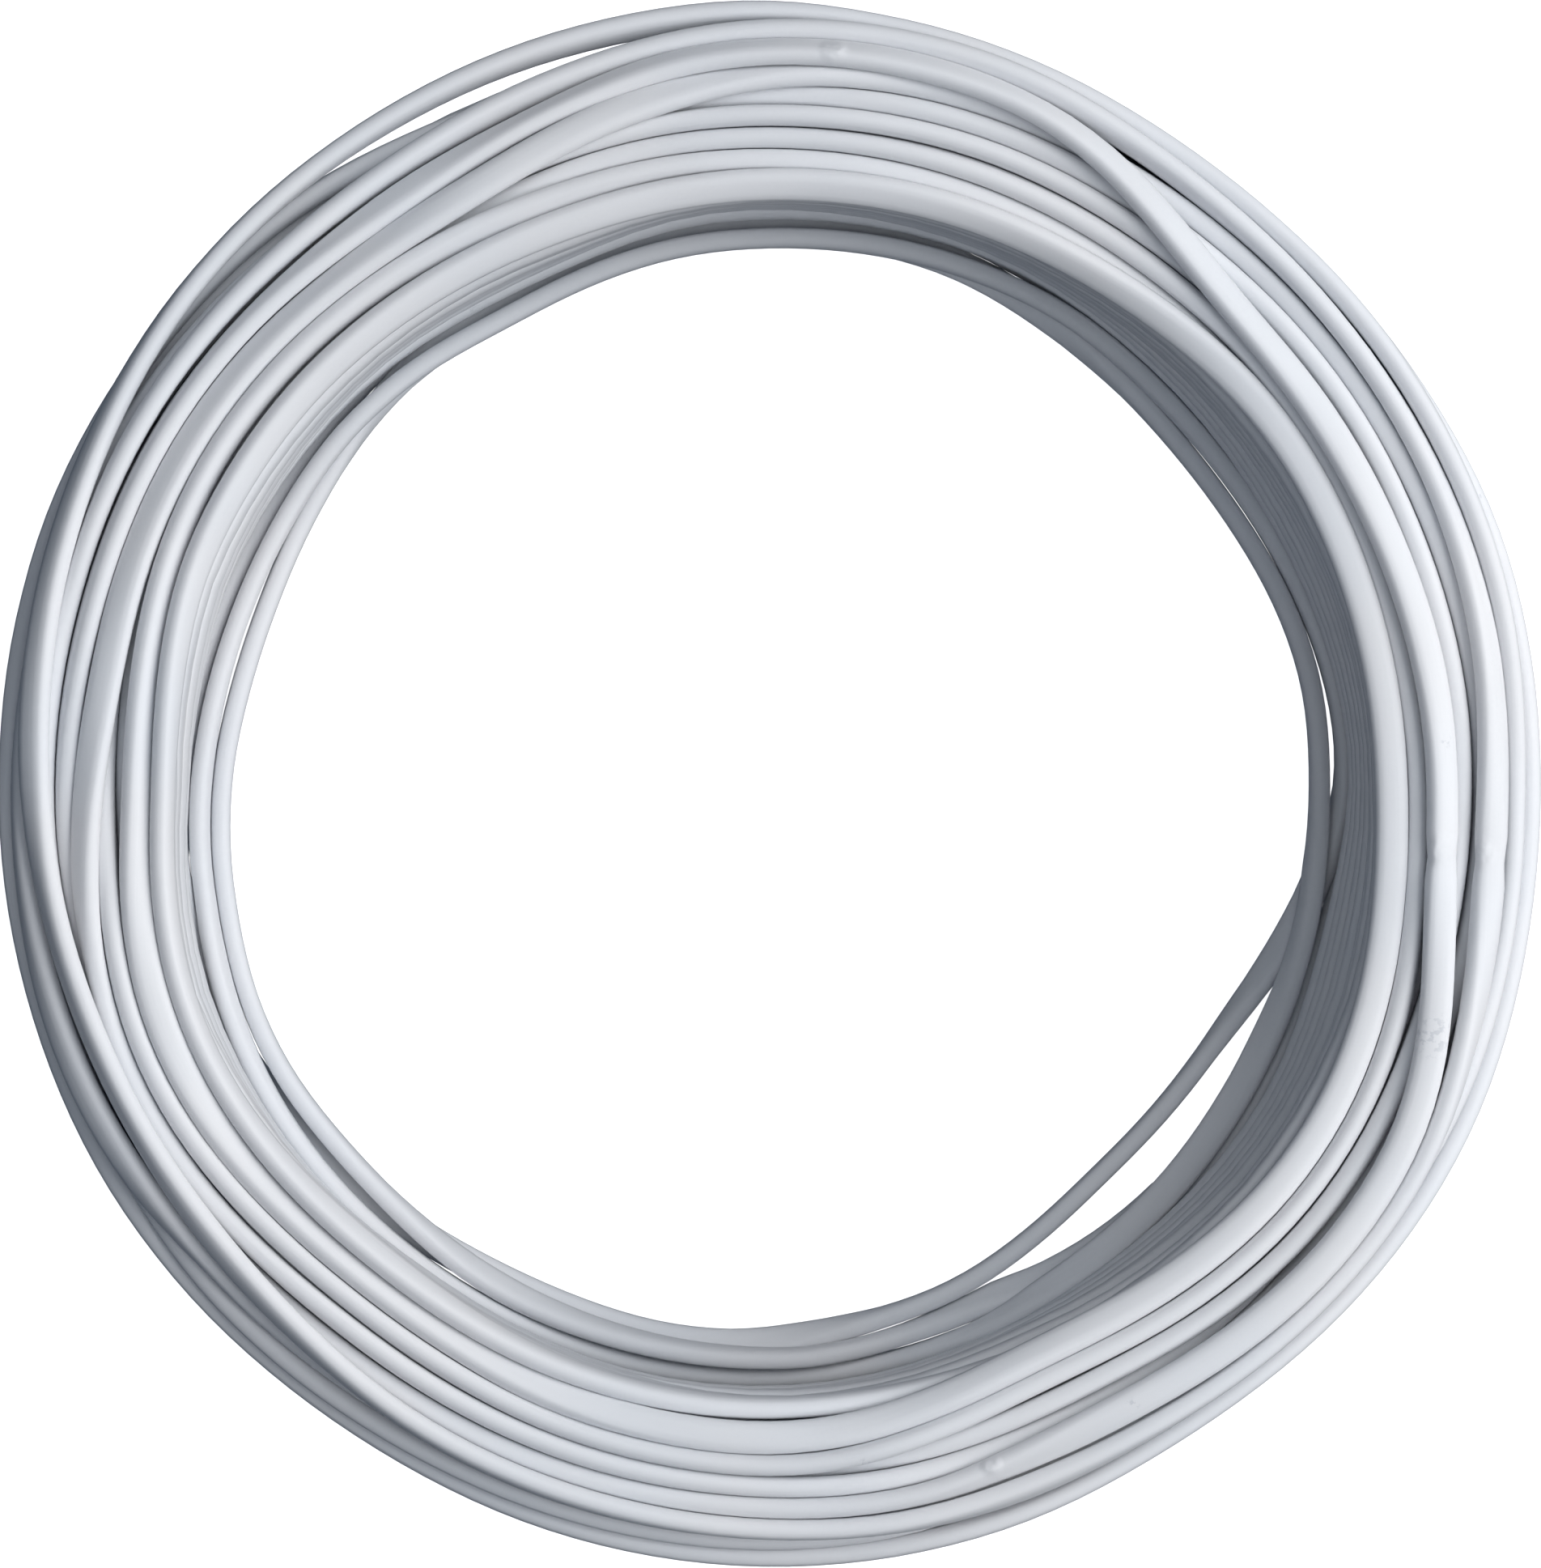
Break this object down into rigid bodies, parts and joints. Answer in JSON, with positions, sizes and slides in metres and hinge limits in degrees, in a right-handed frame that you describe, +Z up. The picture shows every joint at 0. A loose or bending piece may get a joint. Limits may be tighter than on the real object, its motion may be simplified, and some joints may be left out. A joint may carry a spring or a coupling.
{
  "type": "coil of electrical wire",
  "caption": "Ring of white flat flexible electrical cable, wound without a spool and lying flat, with a wide open bore.",
  "frame": {"origin": "on the floor, on the ring's axis: the bottom centre of the coil's box", "axes": "+Z up along the axis of the ring, X and Y across it; turned, so X and Y are alike"},
  "size_m": [0.2936, 0.2936, 0.062],
  "materials": {
    "white_sheath": "satin white PVC sheath, a little cool"
  },
  "bodies": {
    "root": {"wire_coil": "white_sheath"}
  },
  "joints": []
}
